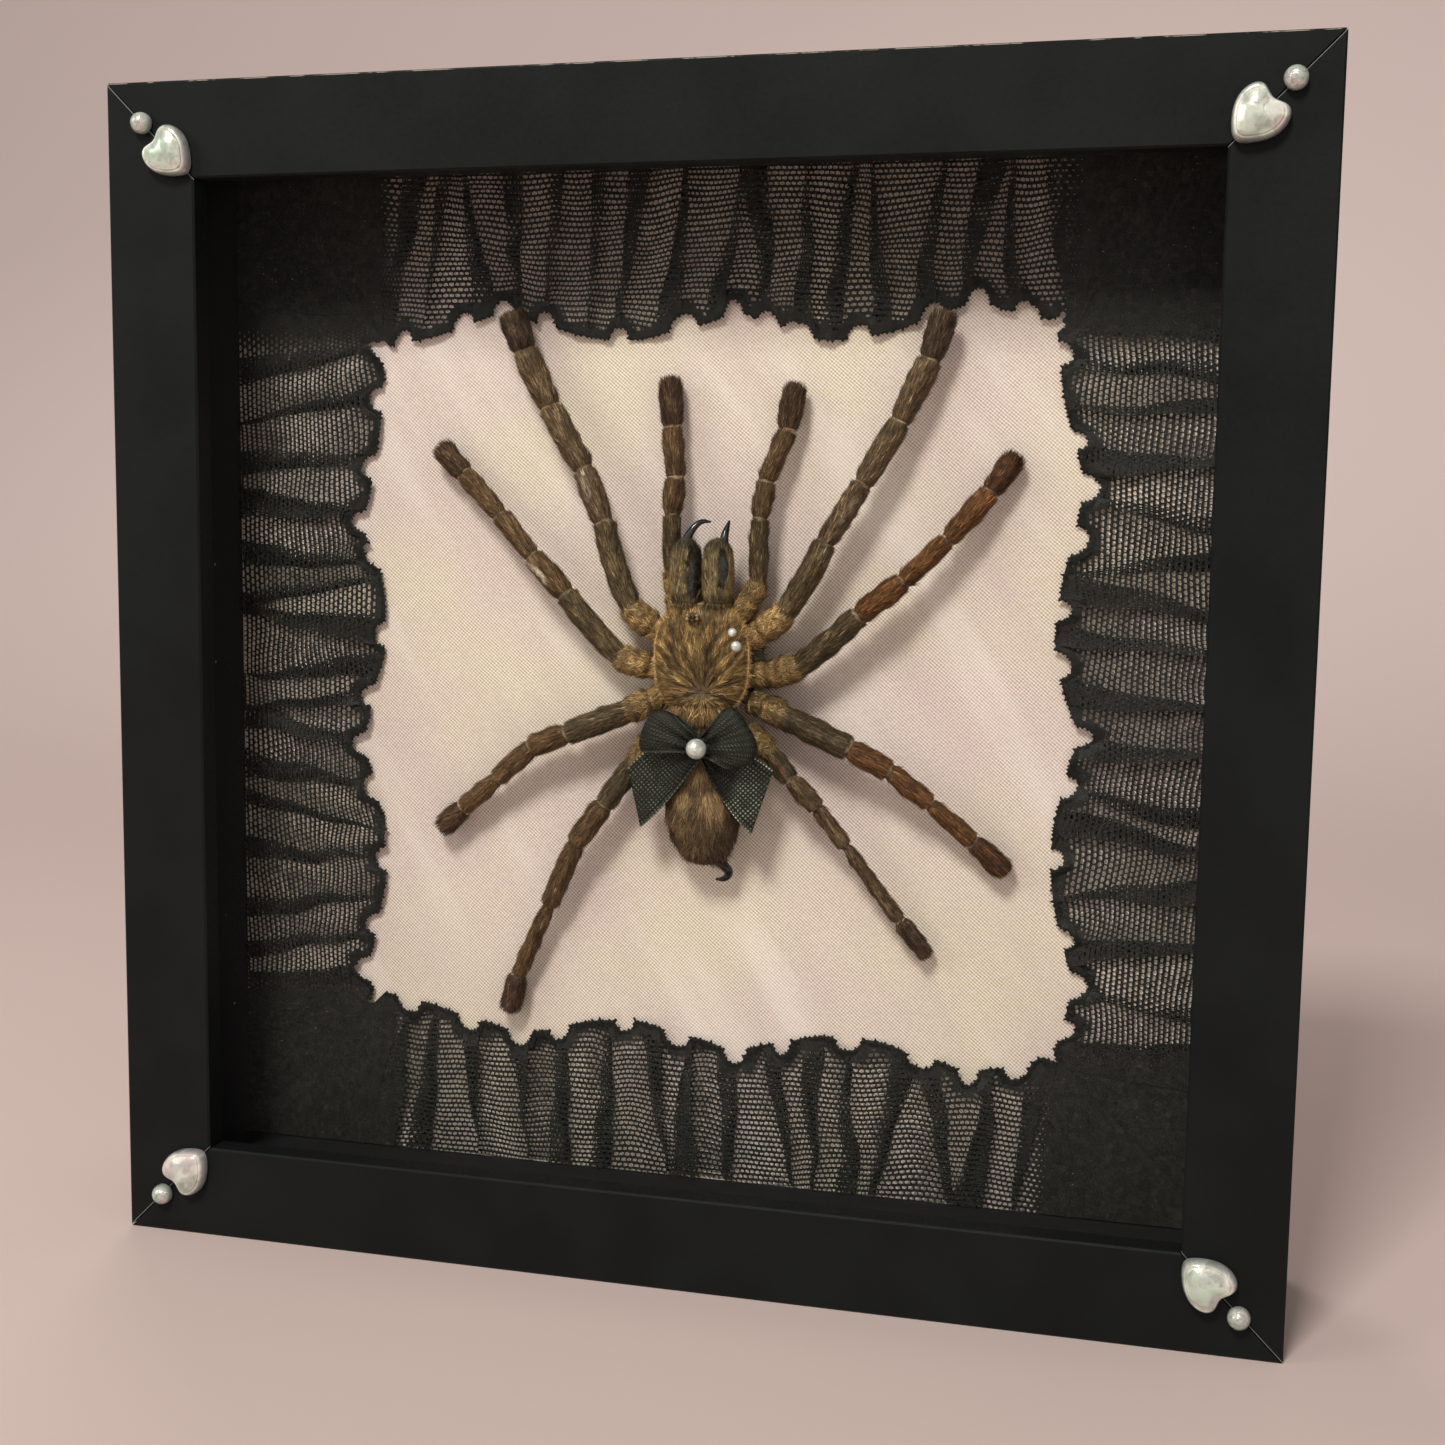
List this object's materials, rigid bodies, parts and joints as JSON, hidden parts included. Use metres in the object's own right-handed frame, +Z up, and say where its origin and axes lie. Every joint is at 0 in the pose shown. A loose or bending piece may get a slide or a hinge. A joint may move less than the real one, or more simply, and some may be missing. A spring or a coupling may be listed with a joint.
{
  "type": "framed tarantula specimen",
  "caption": "Dried tarantula spread on satin behind glass in a square black shadow-box frame with gathered lace, a ribbon bow and pearl trim.",
  "frame": {"origin": "centre of the bounding box's underside, on the surface the frame stands on", "axes": "+X to the right as seen from the front, +Y back into the frame and towards a wall, +Z up"},
  "size_m": [0.25, 0.0494, 0.25],
  "materials": {
    "abdomen": "brown, furry",
    "board": "brown pressed board",
    "pearls": "white nacre, round",
    "carapace": "golden brown, short hair",
    "chelicerae": "dark brown, glossy in the grooves",
    "hearts": "white nacre, swirled",
    "frame": "matte near-black stain",
    "glass": "clear, polished",
    "hanger": "brass plated",
    "lace": "black gathered net lace",
    "limbs": "olive brown, short fur",
    "ribbon": "dark green-black satin ribbon",
    "satin": "pink-cream satin weave",
    "spacer": "matte black",
    "tabs": "thin stamped steel"
  },
  "bodies": {
    "root": {"abdomen": "abdomen", "back_board": "board", "bow_pearl": "pearls", "cephalothorax": "carapace", "chelicera_left": "chelicerae", "chelicera_right": "chelicerae", "corner_heart_bottom_left": "hearts", "corner_heart_bottom_right": "hearts", "corner_heart_top_left": "hearts", "corner_heart_top_right": "hearts", "corner_pearl_bottom_left": "pearls", "corner_pearl_bottom_right": "pearls", "corner_pearl_top_left": "pearls", "corner_pearl_top_right": "pearls", "frame_bottom": "frame", "frame_left": "frame", "frame_right": "frame", "frame_top": "frame", "front_glass": "glass", "hanger_screw_left": "hanger", "hanger_screw_right": "hanger", "hanging_plate": "hanger", "head_pearl_lower": "pearls", "head_pearl_upper": "pearls", "lace_bottom": "lace", "lace_left": "lace", "lace_right": "lace", "lace_top": "lace", "leg_left_1": "limbs", "leg_left_2": "limbs", "leg_left_3": "limbs", "leg_left_4": "limbs", "leg_right_1": "limbs", "leg_right_2": "limbs", "leg_right_3": "limbs", "leg_right_4": "limbs", "palp_left": "limbs", "palp_right": "limbs", "ribbon_bow": "ribbon", "satin_backing": "satin", "spacer_bottom": "spacer", "spacer_left": "spacer", "spacer_right": "spacer", "spacer_top": "spacer", "tab_bottom_a": "tabs", "tab_bottom_b": "tabs", "tab_left_a": "tabs", "tab_left_b": "tabs", "tab_right_a": "tabs", "tab_right_b": "tabs", "tab_top_a": "tabs", "tab_top_b": "tabs"}
  },
  "joints": []
}
